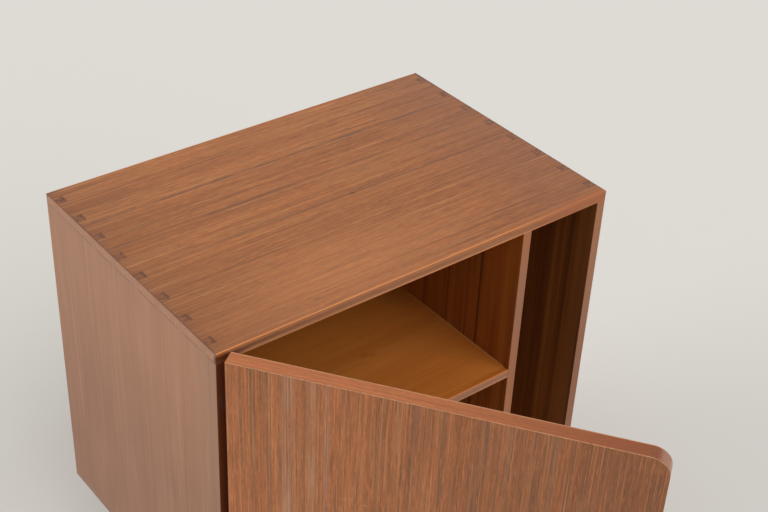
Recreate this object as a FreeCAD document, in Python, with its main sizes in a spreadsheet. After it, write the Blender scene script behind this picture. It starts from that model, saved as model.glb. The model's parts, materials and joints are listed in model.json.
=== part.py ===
import FreeCAD, Part
import math
import os
import Sketcher
from types import SimpleNamespace

# A bedside cabinet: a dovetailed box on four turned legs, with a shelf, an open slot at the right
# and one overlay door that stands ajar. Millimetres, +Z up, the front faces -Y.
# The origin lies on the floor, under the middle of the box.

SIZES = (
    # the box and its corner joints
    ("carcass_width", 500),
    ("carcass_depth", 332),
    ("carcass_height", 400),
    ("board_thickness", 11.5),
    ("pin_count", 8),
    ("pin_outer_width", 9),
    ("pin_inner_width", 12.4),
    ("joint_clearance", 0.05),
    ("arris_radius", 0.8),
    # the boards inside
    ("slot_width", 97.2),
    ("divider_thickness", 11.3),
    ("housing_depth", 4),
    ("housing_setback", 12),
    ("shelf_thickness", 11),
    ("lower_space_height", 183),
    ("shelf_lipping_depth", 8),
    ("inner_arris_radius", 0.5),
    # the back
    ("back_thickness", 5),
    ("rebate_width", 6),
    ("rebate_depth", 7),
    ("back_clearance", 0.3),
    ("back_screw_margin", 45),
    ("back_screw_radius", 1.25),
    ("back_screw_length", 16),
    ("back_screw_head_radius", 2.4),
    ("back_screw_head_height", 1.4),
    # the legs
    ("leg_height", 130),
    ("leg_inset", 52),
    ("leg_top_radius", 16),
    ("leg_foot_radius", 11),
    ("leg_foot_chamfer", 1.5),
    ("glide_height", 4),
    ("glide_radius", 8.5),
    ("glide_nail_radius", 1.1),
    ("glide_nail_length", 14),
    ("leg_plate_side", 56),
    ("leg_plate_thickness", 3),
    ("leg_plate_corner", 8),
    ("leg_screw_inset", 9),
    ("leg_screw_radius", 1.75),
    ("leg_screw_length", 11),
    ("leg_screw_head_radius", 3.4),
    ("leg_screw_head_height", 2),
    ("stud_radius", 4),
    ("stud_depth", 28),
    # the door, measured shut
    ("door_overhang", 17.7),
    ("door_thickness", 16.6),
    ("door_reveal_left", 4.5),
    ("door_reveal_top", 2),
    ("door_reveal_bottom", 2),
    ("door_gap", 1.8),
    ("door_corner_radius", 19),
    ("door_open_angle", 54.2),
    ("veneer_thickness", 0.8),
    ("veneer_arris_radius", 0.5),
    ("lipping_width", 6),
    ("hinge_lipping_width", 8),
    ("free_lipping_width", 20),
    # the two hinges
    ("pivot_inset", 5),
    ("pivot_depth", 11),
    ("hinge_inset", 64),
    ("pin_radius", 1.75),
    ("pin_clearance", 0.05),
    ("pin_head_radius", 2.6),
    ("pin_head_height", 1),
    ("eye_radius", 3.3),
    ("eye_clearance", 0.4),
    ("arm_height", 12),
    ("arm_thickness", 3),
    ("arm_length", 66),
    ("arm_bend_start", 4.5),
    ("arm_bend_end", 9.5),
    ("ear_thickness", 2.5),
    ("ear_clearance", 0.3),
    ("ear_reach", 15),
    ("leaf_start", 8.6),
    ("leaf_end", 47),
    ("leaf_height", 22),
    ("leaf_thickness", 1.5),
    ("leaf_screw_first", 25),
    ("leaf_screw_pitch", 14),
    ("leaf_clearance", 0.15),
    ("hinge_plate_thickness", 2.5),
    ("hinge_plate_start", 36),
    ("hinge_plate_length", 28),
    ("hinge_plate_height", 34),
    ("hinge_plate_screw_rise", 11.5),
    ("hinge_plate_screw_setback", 12),
    ("clamp_screw_setback", 20),
    ("clamp_screw_radius", 2),
    ("hinge_screw_radius", 1.6),
    ("hinge_screw_length", 10),
    ("hinge_screw_head_radius", 3),
    ("hinge_screw_head_height", 1.2),
    # the magnetic catch and the door's bumpers
    ("catch_length", 46),
    ("catch_depth", 13),
    ("catch_height", 13),
    ("catch_foot_length", 9),
    ("catch_foot_height", 3),
    ("catch_side_gap", 2),
    ("catch_setback", 0.6),
    ("magnet_length", 22),
    ("magnet_height", 8),
    ("magnet_depth", 9),
    ("magnet_clearance", 0.1),
    ("strike_length", 30),
    ("strike_height", 12),
    ("strike_thickness", 1),
    ("strike_peg_radius", 2),
    ("strike_peg_length", 8),
    ("bumper_radius", 4),
    ("bumper_thickness", 1.3),
    ("bumper_inset", 36),
    # what all the screws share
    ("screw_slot_width", 0.8),
    ("screw_slot_depth", 0.6),
)

doc = FreeCAD.newDocument("bedside_cabinet")


class Size:
    # A number kept together with the spreadsheet expression that gives it.
    def __init__(self, text, value):
        self.text = text
        self.value = value

    def __add__(self, other):
        other = sized(other)
        return Size(f"({self.text} + {other.text})", self.value + other.value)

    def __sub__(self, other):
        other = sized(other)
        return Size(f"({self.text} - {other.text})", self.value - other.value)

    def __mul__(self, other):
        other = sized(other)
        return Size(f"({self.text} * {other.text})", self.value * other.value)

    def __truediv__(self, other):
        other = sized(other)
        return Size(f"({self.text} / {other.text})", self.value / other.value)

    def __neg__(self):
        return Size(f"(0 - {self.text})", -self.value)

    __radd__ = __add__
    __rmul__ = __mul__


def sized(number):
    return number if isinstance(number, Size) else Size(str(number), float(number))


def make_sheet():
    sheet = doc.addObject("Spreadsheet::Sheet", "Sizes")
    for row, (alias, value) in enumerate(SIZES, 1):
        sheet.set(f"A{row}", alias)
        sheet.set(f"B{row}", str(value))
        sheet.setAlias(f"B{row}", alias)
    doc.recompute()
    return SimpleNamespace(**{alias: Size(f"Sizes.{alias}", value) for alias, value in SIZES})


def bind(item, path, number):
    item.setExpression(path, sized(number).text)


def place(item, x=0, y=0, z=0, axis=None, angle=0):
    # An item's own place; a turned item turns about the given axis.
    if axis is not None:
        item.Placement = FreeCAD.Placement(FreeCAD.Vector(), FreeCAD.Rotation(axis, 1))
        bind(item, "Placement.Rotation.Angle", angle)
    for letter, number in zip("xyz", (x, y, z)):
        bind(item, f"Placement.Base.{letter}", number)


def new_body(label):
    body = doc.addObject("PartDesign::Body", label)
    body.Label = label
    return body


def origin_item(body, role):
    return next(item for item in body.Origin.OriginFeatures if item.Role == role)


def new_sketch(body, role, offset):
    sketch = body.newObject("Sketcher::SketchObject", f"{body.Name}_sketch")
    sketch.AttachmentSupport = (origin_item(body, role), [""])
    sketch.MapMode = "FlatFace"
    bind(sketch, "AttachmentOffset.Base.z", offset)
    return sketch


def fix_point(sketch, edge, end, point):
    for kind, number in zip(("DistanceX", "DistanceY"), point):
        index = sketch.addConstraint(Sketcher.Constraint(kind, -1, 1, edge, end, number.value))
        bind(sketch, f"Constraints[{index}]", number)


def add_outline(sketch, points, rounds):
    # A closed outline, counter-clockwise; rounds gives the radius of the arc that starts at a point.
    points = [(sized(x), sized(y)) for x, y in points]
    vectors = [FreeCAD.Vector(x.value, y.value, 0) for x, y in points]
    first = sketch.GeometryCount
    count = len(points)
    for index, start in enumerate(vectors):
        end = vectors[(index + 1) % count]
        if index in rounds:
            radius = rounds[index].value
            half = (end - start) * 0.5
            rise = math.sqrt(max(radius ** 2 - half.Length ** 2, 0))
            left = FreeCAD.Vector(-half.y, half.x, 0).normalize()
            centre = start + half + left * rise
            angles = [math.atan2(p.y - centre.y, p.x - centre.x) for p in (start, end)]
            circle = Part.Circle(centre, FreeCAD.Vector(0, 0, 1), radius)
            sketch.addGeometry(Part.ArcOfCircle(circle, *angles))
        else:
            sketch.addGeometry(Part.LineSegment(start, end))
    for index in range(count):
        edge = first + index
        sketch.addConstraint(Sketcher.Constraint("Coincident", edge, 2, first + (index + 1) % count, 1))
    for index, point in enumerate(points):
        fix_point(sketch, first + index, 1, point)
        if index in rounds:
            radius = rounds[index]
            row = sketch.addConstraint(Sketcher.Constraint("Radius", first + index, radius.value))
            bind(sketch, f"Constraints[{row}]", radius)


def add_circle(sketch, x, y, radius):
    x, y = sized(x), sized(y)
    centre = FreeCAD.Vector(x.value, y.value, 0)
    edge = sketch.addGeometry(Part.Circle(centre, FreeCAD.Vector(0, 0, 1), radius.value))
    fix_point(sketch, edge, 3, (x, y))
    row = sketch.addConstraint(Sketcher.Constraint("Radius", edge, radius.value))
    bind(sketch, f"Constraints[{row}]", radius)


def outlines(body, role, offset, loops, rounds=None):
    sketch = new_sketch(body, role, offset)
    for points in loops:
        add_outline(sketch, points, rounds or {})
    return sketch


def circles(body, role, offset, centres, radius):
    sketch = new_sketch(body, role, offset)
    for x, y in centres:
        add_circle(sketch, x, y, radius)
    return sketch


def rectangle(x0, y0, x1, y1):
    return [(x0, y0), (x1, y0), (x1, y1), (x0, y1)]


def pad(body, sketch, length, symmetric=False):
    feature = body.newObject("PartDesign::Pad", f"{body.Name}_pad")
    feature.Profile = sketch
    feature.SideType = "Symmetric" if symmetric else "One side"
    bind(feature, "Length", length)
    doc.recompute()
    return feature


def cut(body, sketch, length):
    # Cuts from the sketch along its normal, and makes sure that something was cut.
    before = body.Shape.Volume
    feature = body.newObject("PartDesign::Pocket", f"{body.Name}_cut")
    feature.Profile = sketch
    feature.Reversed = True
    bind(feature, "Length", length)
    doc.recompute()
    if body.Shape.Volume >= before:
        raise RuntimeError(f"{feature.Name} in {body.Label} cuts nothing")
    return feature


def row_along_depth(body, feature, count, pitch):
    pattern = body.newObject("PartDesign::LinearPattern", f"{body.Name}_row")
    pattern.Originals = [feature]
    pattern.Direction = (origin_item(body, "Y_Axis"), [""])
    bind(pattern, "Length", pitch * (count - 1))
    bind(pattern, "Occurrences", count)
    body.Tip = pattern
    doc.recompute()


def revolve(body, sketch):
    feature = body.newObject("PartDesign::Revolution", f"{body.Name}_turned")
    feature.Profile = sketch
    feature.ReferenceAxis = (sketch, ["V_Axis"])
    feature.Angle = 360
    doc.recompute()


def in_plane(edge, axis, at):
    return all(abs(getattr(vertex.Point, axis) - at.value) < SAME_PLACE for vertex in edge.Vertexes)


def ease(body, planes, radius, shared=2):
    # Rounds the edges that lie in so many of the planes, each given as an axis letter and a place.
    tip = body.Tip
    names = []
    for index, edge in enumerate(tip.Shape.Edges, 1):
        hits = sum(in_plane(edge, axis, at) for axis, at in planes)
        if hits >= shared and edge.Length > 2 * radius.value:
            names.append(f"Edge{index}")
    feature = body.newObject("PartDesign::Fillet", f"{body.Name}_eased")
    feature.Base = (tip, names)
    bind(feature, "Radius", radius)
    doc.recompute()


def round_screw(radius, length, head_radius, head_height):
    # A slotted round-head screw along Z: the head sits above the origin and the shank goes down.
    shank = doc.addObject("Part::Cylinder", "shank")
    bind(shank, "Radius", radius)
    bind(shank, "Height", length)
    bind(shank, "Placement.Base.z", -length)
    head = doc.addObject("Part::Cone", "head")
    bind(head, "Radius1", head_radius)
    bind(head, "Radius2", radius)
    bind(head, "Height", head_height)
    whole = doc.addObject("Part::Fuse", "blank")
    whole.Base = shank
    whole.Tool = head
    slot = doc.addObject("Part::Box", "slot")
    bind(slot, "Length", head_radius * 2)
    bind(slot, "Width", s.screw_slot_width)
    bind(slot, "Height", s.screw_slot_depth)
    place(slot, -head_radius, -s.screw_slot_width / 2, head_height - s.screw_slot_depth)
    screw = doc.addObject("Part::Cut", "screw")
    screw.Base = whole
    screw.Tool = slot
    return screw


def group(label, items):
    compound = doc.addObject("Part::Compound", label)
    compound.Label = label
    compound.Links = items
    doc.recompute()
    return compound


X_AXIS = FreeCAD.Vector(1, 0, 0)
Y_AXIS = FreeCAD.Vector(0, 1, 0)
Z_AXIS = FreeCAD.Vector(0, 0, 1)
SAME_PLACE = 1e-4

s = make_sheet()
pieces = []

# places that several pieces share
half_width = s.carcass_width / 2
half_depth = s.carcass_depth / 2
half_height = s.carcass_height / 2
inner_half_width = half_width - s.board_thickness
inner_half_height = half_height - s.board_thickness
box_middle = s.leg_height + half_height
back_face = half_depth - s.rebate_depth
divider_right = inner_half_width - s.slot_width
divider_left = divider_right - s.divider_thickness
shelf_bottom = s.lower_space_height - inner_half_height
shelf_top = shelf_bottom + s.shelf_thickness
shelf_lip_back = s.shelf_lipping_depth - half_depth
pin_pitch = s.carcass_depth / s.pin_count
first_pin = pin_pitch / 2 - half_depth
snug = s.joint_clearance
shelf_groove = rectangle(shelf_lip_back, shelf_bottom - snug, back_face, shelf_top + snug)
box_sides = [("x", -half_width), ("x", half_width), ("y", -half_depth), ("y", half_depth)]
screw_line = s.rebate_width / 2
back_screw_hole = s.back_screw_length - s.back_thickness
back_screw_across = inner_half_width - s.back_screw_margin
back_screw_up = inner_half_height - s.back_screw_margin
leg_x = half_width - s.leg_inset
leg_y = half_depth - s.leg_inset
leg_screw_reach = s.leg_plate_side / 2 - s.leg_screw_inset
leg_screw_hole = s.leg_screw_length - s.leg_plate_thickness
LEG_CORNERS = (("front_left", -1, -1), ("front_right", 1, -1), ("back_left", -1, 1), ("back_right", 1, 1))
PLATE_CORNERS = ((-1, -1), (1, -1), (-1, 1), (1, 1))

# the hinge pivot, and the door's own frame with its origin on the pivot
pivot_x = s.door_reveal_left + s.pivot_inset - half_width
pivot_y = -half_depth - s.door_gap - s.pivot_depth
door_left = -s.pivot_inset
door_right = divider_right + s.door_overhang - pivot_x
door_bottom = s.leg_height + s.door_reveal_bottom
door_top = s.leg_height + s.carcass_height - s.door_reveal_top
door_back = s.pivot_depth
core_back = door_back - s.veneer_thickness
core_thickness = s.door_thickness - s.veneer_thickness * 2
hinge_heights = (("upper", door_top - s.hinge_inset), ("lower", door_bottom + s.hinge_inset))
side_face = s.board_thickness - s.door_reveal_left - s.pivot_inset
arm_face = side_face + s.hinge_plate_thickness
pin_hole = s.pin_radius + s.pin_clearance
ear_inside = s.arm_height / 2 + s.ear_clearance
ear_outside = ear_inside + s.ear_thickness
notch_half = s.leaf_height / 2 + s.leaf_clearance
notch_right = s.ear_reach + s.leaf_clearance * 2
notch_front = -s.eye_radius - s.eye_clearance
screw_fit = s.hinge_screw_radius + snug

# the magnetic catch stands on the bottom board, beside the divider
catch_middle = divider_left - s.catch_side_gap - s.catch_length / 2
catch_y = s.catch_setback - half_depth
catch_floor = s.leg_height + s.board_thickness
catch_screw_reach = (s.catch_length - s.catch_foot_length) / 2
strike_spot = (catch_middle - pivot_x, catch_floor + s.catch_foot_height + s.magnet_height / 2)


def pin_loop(side, outer_face, inner_face, ease_out):
    # The first dovetail pin seen from above, narrow at the outer face; ease_out widens it for a socket.
    outer = outer_face * side
    inner = inner_face * side
    narrow = s.pin_outer_width / 2 + ease_out
    wide = s.pin_inner_width / 2 + ease_out
    loop = [(outer, first_pin - narrow), (inner, first_pin - wide),
            (inner, first_pin + wide), (outer, first_pin + narrow)]
    return loop if side < 0 else loop[::-1]


def wide_board(label, low_face, inner_side_down):
    # The top or bottom board, with tails at both ends; low_face is the height of its underside.
    body = new_body(label)
    thick = s.board_thickness
    board = rectangle(-half_width, -half_depth, half_width, half_depth)
    pad(body, outlines(body, "XY_Plane", 0, [board]), thick)
    sockets = [pin_loop(side, half_width, inner_half_width - snug, snug) for side in (-1, 1)]
    socket = cut(body, outlines(body, "XY_Plane", 0, sockets), thick)
    row_along_depth(body, socket, s.pin_count, pin_pitch)

    def inner_cut(loop, depth):
        start = 0 if inner_side_down else thick - depth
        cut(body, outlines(body, "XY_Plane", start, [loop]), depth)

    groove = rectangle(divider_left - snug, s.housing_setback - half_depth, divider_right + snug, back_face)
    inner_cut(groove, s.housing_depth)
    rebate_half = inner_half_width + s.rebate_width
    inner_cut(rectangle(-rebate_half, back_face, rebate_half, half_depth), s.rebate_width)
    screw_z = screw_line if inner_side_down else thick - screw_line
    spots = [(back_screw_across * step, screw_z) for step in (-1, 0, 1)]
    holes = circles(body, "XZ_Plane", -back_face, spots, s.back_screw_radius + snug)
    cut(body, holes, back_screw_hole)
    place(body, z=low_face)
    pieces.append(body)
    return body


def top_board():
    body = wide_board("top_board", s.leg_height + s.carcass_height - s.board_thickness, True)
    ease(body, box_sides + [("z", s.board_thickness)], s.arris_radius)


def bottom_board():
    body = wide_board("bottom_board", s.leg_height, False)
    spots = []
    for _, side, way in LEG_CORNERS:
        for dx, dy in PLATE_CORNERS:
            spots.append((leg_x * side + leg_screw_reach * dx, leg_y * way + leg_screw_reach * dy))
    cut(body, circles(body, "XY_Plane", 0, spots, s.leg_screw_radius + snug), leg_screw_hole)
    catch_spots = [(catch_middle + catch_screw_reach * way, catch_y + s.catch_depth / 2) for way in (-1, 1)]
    hole = s.hinge_screw_length - s.catch_foot_height
    start = s.board_thickness - hole
    cut(body, circles(body, "XY_Plane", start, catch_spots, screw_fit), hole)
    ease(body, box_sides + [("z", sized(0))], s.arris_radius)


def side_board(label, side):
    # A side board with pins at both ends; side is -1 for the left and 1 for the right.
    body = new_body(label)
    outer = half_width * side
    inner = inner_half_width * side
    low, high = (outer, inner) if side < 0 else (inner, outer)
    board = outlines(body, "XY_Plane", 0, [rectangle(low, -half_depth, high, half_depth)])
    pad(body, board, inner_half_height * 2, symmetric=True)
    for start in (inner_half_height, -half_height):
        pin = outlines(body, "XY_Plane", start, [pin_loop(side, half_width, inner_half_width, 0)])
        row_along_depth(body, pad(body, pin, s.board_thickness), s.pin_count, pin_pitch)
    ledge = inner + s.rebate_width * side
    low, high = (ledge, inner) if side < 0 else (inner, ledge)
    rebate = outlines(body, "XY_Plane", -inner_half_height, [rectangle(low, back_face, high, half_depth)])
    cut(body, rebate, inner_half_height * 2)
    spots = [((inner_half_width + screw_line) * side, back_screw_up * way) for way in (-1, 1)]
    cut(body, circles(body, "XZ_Plane", -back_face, spots, s.back_screw_radius + snug), back_screw_hole)
    if side < 0:
        cut(body, outlines(body, "YZ_Plane", inner - s.housing_depth, [shelf_groove]), s.housing_depth)
        depth = s.hinge_screw_length - s.hinge_plate_thickness
        y = pivot_y + s.hinge_plate_start + s.hinge_plate_screw_setback
        spots = []
        for _, height in hinge_heights:
            for way in (-1, 1):
                spots.append((y, height - box_middle + s.hinge_plate_screw_rise * way))
        cut(body, circles(body, "YZ_Plane", inner - depth, spots, screw_fit), depth)
    planes = [("x", outer), ("y", -half_depth), ("y", half_depth), ("z", -half_height), ("z", half_height)]
    ease(body, planes, s.arris_radius)
    place(body, z=box_middle)
    pieces.append(body)


def back_panel():
    body = new_body("back_panel")
    across = inner_half_width + s.rebate_width - s.back_clearance
    up = inner_half_height + s.rebate_width - s.back_clearance
    loop = rectangle(-across, -up, across, up)
    pad(body, outlines(body, "XZ_Plane", -back_face - s.back_thickness, [loop]), s.back_thickness)
    spots = back_screw_spots()
    holes = circles(body, "XZ_Plane", -back_face - s.back_thickness, spots, s.back_screw_radius + snug)
    cut(body, holes, s.back_thickness)
    place(body, z=box_middle)
    pieces.append(body)


def back_screw_spots():
    spots = []
    for way in (-1, 1):
        spots += [(back_screw_across * step, (inner_half_height + screw_line) * way) for step in (-1, 0, 1)]
        spots += [((inner_half_width + screw_line) * side, back_screw_up * way) for side in (-1, 1)]
    return spots


def back_screws():
    screws = []
    for x, z in back_screw_spots():
        screw = round_screw(s.back_screw_radius, s.back_screw_length, s.back_screw_head_radius,
                            s.back_screw_head_height)
        place(screw, x, back_face + s.back_thickness, box_middle + z, X_AXIS, -90)
        screws.append(screw)
    pieces.append(group("back_screws", screws))


def divider():
    body = new_body("divider")
    front = -half_depth
    main = rectangle(divider_left, front, divider_right, back_face - snug)
    pad(body, outlines(body, "XY_Plane", 0, [main]), inner_half_height * 2, symmetric=True)
    tongue = rectangle(divider_left, front + s.housing_setback + snug, divider_right, back_face - snug)
    reach = inner_half_height + s.housing_depth - snug
    pad(body, outlines(body, "XY_Plane", 0, [tongue]), reach * 2, symmetric=True)
    cut(body, outlines(body, "YZ_Plane", divider_left, [shelf_groove]), s.housing_depth)
    planes = [("x", divider_left), ("x", divider_right), ("y", front)]
    ease(body, planes, s.inner_arris_radius)
    place(body, z=box_middle)
    pieces.append(body)


def shelf():
    board = new_body("shelf_board")
    reach = s.housing_depth - snug
    left = -inner_half_width - reach
    loop = rectangle(left, shelf_lip_back + snug, divider_left + reach, back_face - snug)
    pad(board, outlines(board, "XY_Plane", shelf_bottom, [loop]), s.shelf_thickness)
    lipping = new_body("shelf_lipping")
    loop = rectangle(snug - inner_half_width, -half_depth, divider_left - snug, shelf_lip_back)
    pad(lipping, outlines(lipping, "XY_Plane", shelf_bottom, [loop]), s.shelf_thickness)
    planes = [("y", -half_depth), ("z", shelf_bottom), ("z", shelf_top)]
    ease(lipping, planes, s.inner_arris_radius)
    for body in (board, lipping):
        place(body, z=box_middle)
        pieces.append(body)


def legs():
    length = s.leg_height - s.glide_height - s.leg_plate_thickness
    plate_low = s.leg_height - s.leg_plate_thickness
    studs, glides, screws = [], [], []
    for corner, side, way in LEG_CORNERS:
        x = leg_x * side
        y = leg_y * way
        leg = new_body(f"leg_{corner}")
        rim = s.leg_foot_chamfer
        turned = [(0, 0), (s.leg_foot_radius - rim, 0), (s.leg_foot_radius, rim),
                  (s.leg_top_radius, length), (0, length)]
        revolve(leg, outlines(leg, "XZ_Plane", 0, [turned]))
        bore = circles(leg, "XY_Plane", length - s.stud_depth, [(0, 0)], s.stud_radius + snug)
        cut(leg, bore, s.stud_depth)
        cut(leg, circles(leg, "XY_Plane", 0, [(0, 0)], s.glide_nail_radius + snug), s.glide_nail_length)
        place(leg, x, y, s.glide_height)
        pieces.append(leg)

        plate = new_body(f"leg_plate_{corner}")
        h = s.leg_plate_side / 2
        k = h - s.leg_plate_corner
        loop = [(-k, -h), (k, -h), (h, -k), (h, k), (k, h), (-k, h), (-h, k), (-h, -k)]
        rounds = {index: s.leg_plate_corner for index in (1, 3, 5, 7)}
        pad(plate, outlines(plate, "XY_Plane", 0, [loop], rounds), s.leg_plate_thickness)
        cut(plate, circles(plate, "XY_Plane", 0, [(0, 0)], s.stud_radius + snug), s.leg_plate_thickness)
        spots = [(leg_screw_reach * dx, leg_screw_reach * dy) for dx, dy in PLATE_CORNERS]
        cut(plate, circles(plate, "XY_Plane", 0, spots, s.leg_screw_radius + snug), s.leg_plate_thickness)
        place(plate, x, y, plate_low)
        pieces.append(plate)

        stud = doc.addObject("Part::Cylinder", "stud")
        bind(stud, "Radius", s.stud_radius)
        bind(stud, "Height", s.leg_plate_thickness + s.stud_depth - snug * 2)
        place(stud, x, y, plate_low - s.stud_depth + snug)
        studs.append(stud)

        pad_disc = doc.addObject("Part::Cylinder", "glide_disc")
        bind(pad_disc, "Radius", s.glide_radius)
        bind(pad_disc, "Height", s.glide_height)
        nail = doc.addObject("Part::Cylinder", "glide_nail")
        bind(nail, "Radius", s.glide_nail_radius)
        bind(nail, "Height", s.glide_height + s.glide_nail_length - snug)
        glide = doc.addObject("Part::Fuse", "glide")
        glide.Base = pad_disc
        glide.Tool = nail
        place(glide, x, y)
        glides.append(glide)

        for dx, dy in PLATE_CORNERS:
            screw = round_screw(s.leg_screw_radius, s.leg_screw_length - snug, s.leg_screw_head_radius,
                                s.leg_screw_head_height)
            place(screw, x + leg_screw_reach * dx, y + leg_screw_reach * dy, plate_low, X_AXIS, 180)
            screws.append(screw)
    pieces.append(group("leg_studs", studs))
    pieces.append(group("leg_glides", glides))
    pieces.append(group("leg_plate_screws", screws))


def hang_on_pivot(item):
    # Door pieces are drawn shut, about the pivot, and stand open by one angle.
    place(item, pivot_x, pivot_y, 0, Z_AXIS, -s.door_open_angle)
    pieces.append(item)


def notch_loops(x0, x1):
    return [rectangle(x0, height - notch_half, x1, height + notch_half) for _, height in hinge_heights]


def door_outline(low, high):
    # The door's face seen from the front: square at the hinge, round at the free end.
    r = s.door_corner_radius
    return [(door_left, low), (door_right - r, low), (door_right, low + r), (door_right, high - r),
            (door_right - r, high), (door_left, high)]


def veneer(label, back):
    body = new_body(label)
    rounds = {1: s.door_corner_radius, 3: s.door_corner_radius}
    face = outlines(body, "XZ_Plane", -back, [door_outline(door_bottom, door_top)], rounds)
    pad(body, face, s.veneer_thickness)
    return body


def door_veneers():
    front = veneer("door_front_veneer", core_back - core_thickness)
    ease(front, [("y", door_back - s.door_thickness)], s.veneer_arris_radius, shared=1)
    hang_on_pivot(front)

    back = veneer("door_back_veneer", door_back)
    recess = s.leaf_end + s.leaf_clearance
    cut(back, outlines(back, "XZ_Plane", -door_back, notch_loops(door_left, recess)), s.veneer_thickness)
    peg = circles(back, "XZ_Plane", -door_back, [strike_spot], s.strike_peg_radius + snug)
    cut(back, peg, s.veneer_thickness)
    hang_on_pivot(back)


def cut_hinge_notches(body, x0):
    notch = outlines(body, "XZ_Plane", -core_back, notch_loops(x0, notch_right))
    cut(body, notch, core_back - notch_front)


def door_core():
    body = new_body("door_core")
    left = door_left + s.hinge_lipping_width
    right = door_right - s.free_lipping_width
    low = door_bottom + s.lipping_width
    high = door_top - s.lipping_width
    board = outlines(body, "XZ_Plane", -core_back, [rectangle(left, low, right, high)])
    pad(body, board, core_thickness)
    cut_hinge_notches(body, left)
    recess = outlines(body, "XZ_Plane", -core_back, notch_loops(notch_right, s.leaf_end + s.leaf_clearance))
    cut(body, recess, s.leaf_thickness - s.veneer_thickness)
    spots = []
    for _, height in hinge_heights:
        spots += [(s.leaf_screw_first + s.leaf_screw_pitch * step, height) for step in (0, 1)]
    screw_hole = circles(body, "XZ_Plane", -core_back, spots, screw_fit)
    cut(body, screw_hole, s.hinge_screw_length - s.veneer_thickness)
    peg = circles(body, "XZ_Plane", -core_back, [strike_spot], s.strike_peg_radius + snug)
    cut(body, peg, s.strike_peg_length - s.veneer_thickness)
    hang_on_pivot(body)


def door_lippings():
    right = door_right - s.free_lipping_width
    for end, low in (("top", door_top - s.lipping_width), ("bottom", door_bottom)):
        body = new_body(f"door_lipping_{end}")
        strip = rectangle(door_left, low, right, low + s.lipping_width)
        pad(body, outlines(body, "XZ_Plane", -core_back, [strip]), core_thickness)
        hang_on_pivot(body)

    body = new_body("door_lipping_hinge")
    strip = rectangle(door_left, door_bottom + s.lipping_width, door_left + s.hinge_lipping_width,
                      door_top - s.lipping_width)
    pad(body, outlines(body, "XZ_Plane", -core_back, [strip]), core_thickness)
    notch = notch_loops(door_left, door_left + s.hinge_lipping_width)
    cut(body, outlines(body, "XZ_Plane", -core_back, notch), core_back - notch_front)
    hang_on_pivot(body)

    body = new_body("door_lipping_free")
    outline = door_outline(door_bottom, door_top)
    loop = [(right, door_bottom)] + outline[1:5] + [(right, door_top)]
    rounds = {1: s.door_corner_radius, 3: s.door_corner_radius}
    pad(body, outlines(body, "XZ_Plane", -core_back, [loop], rounds), core_thickness)
    hang_on_pivot(body)


def hinge_arm(place_name, height):
    # A cranked steel arm on the box, with the eye that the pin turns in.
    body = new_body(f"hinge_arm_{place_name}")
    near = s.eye_radius - s.arm_thickness
    loop = [(near, 0), (s.eye_radius, 0), (s.eye_radius, s.arm_bend_start),
            (arm_face + s.arm_thickness, s.arm_bend_end), (arm_face + s.arm_thickness, s.arm_length),
            (arm_face, s.arm_length), (arm_face, s.arm_bend_end), (near, s.arm_bend_start)]
    pad(body, outlines(body, "XY_Plane", 0, [loop]), s.arm_height, symmetric=True)
    pad(body, circles(body, "XY_Plane", 0, [(0, 0)], s.eye_radius), s.arm_height, symmetric=True)
    cut(body, circles(body, "XY_Plane", -s.arm_height / 2, [(0, 0)], pin_hole), s.arm_height)
    spot = (s.hinge_plate_start + s.clamp_screw_setback, 0)
    cut(body, circles(body, "YZ_Plane", arm_face, [spot], s.clamp_screw_radius + snug), s.arm_thickness)
    place(body, pivot_x, pivot_y, height)
    pieces.append(body)


def hinge_plate(place_name, height):
    body = new_body(f"hinge_plate_{place_name}")
    half = s.hinge_plate_height / 2
    loop = rectangle(s.hinge_plate_start, -half, s.hinge_plate_start + s.hinge_plate_length, half)
    pad(body, outlines(body, "YZ_Plane", side_face, [loop]), s.hinge_plate_thickness)
    y = s.hinge_plate_start + s.hinge_plate_screw_setback
    spots = [(y, s.hinge_plate_screw_rise * way) for way in (-1, 1)]
    cut(body, circles(body, "YZ_Plane", side_face, spots, screw_fit), s.hinge_plate_thickness)
    clamp = (s.hinge_plate_start + s.clamp_screw_setback, 0)
    hole = circles(body, "YZ_Plane", side_face, [clamp], s.clamp_screw_radius + snug)
    cut(body, hole, s.hinge_plate_thickness)
    place(body, pivot_x, pivot_y, height)
    pieces.append(body)


def hinge_leaf(place_name, height):
    # The door's half of a hinge: a flush leaf on the back, with two ears that hold the pin.
    body = new_body(f"hinge_leaf_{place_name}")
    leaf_face = door_back - s.leaf_thickness
    web = [(0, -s.eye_radius), (s.ear_reach, leaf_face), (s.leaf_start, leaf_face), (0, s.eye_radius)]
    half = s.leaf_height / 2
    flat = rectangle(s.leaf_start, -half, s.leaf_end, half)
    pad(body, outlines(body, "XZ_Plane", -door_back, [flat]), s.leaf_thickness)
    for start in (ear_inside, -ear_outside):
        pad(body, outlines(body, "XY_Plane", start, [web]), s.ear_thickness)
        pad(body, circles(body, "XY_Plane", start, [(0, 0)], s.eye_radius), s.ear_thickness)
    cut(body, circles(body, "XY_Plane", -ear_outside, [(0, 0)], s.pin_radius + snug), ear_outside * 2)
    spots = [(s.leaf_screw_first + s.leaf_screw_pitch * step, 0) for step in (0, 1)]
    cut(body, circles(body, "XZ_Plane", -door_back, spots, screw_fit), s.leaf_thickness)
    place(body, pivot_x, pivot_y, height, Z_AXIS, -s.door_open_angle)
    pieces.append(body)


def hinge_pin(place_name, height):
    body = new_body(f"hinge_pin_{place_name}")
    top = ear_outside + s.pin_head_height
    loop = [(0, -ear_outside), (s.pin_radius, -ear_outside), (s.pin_radius, ear_outside),
            (s.pin_head_radius, ear_outside), (s.pin_head_radius, top), (0, top)]
    revolve(body, outlines(body, "XZ_Plane", 0, [loop]))
    place(body, pivot_x, pivot_y, height, Z_AXIS, -s.door_open_angle)
    pieces.append(body)


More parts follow.
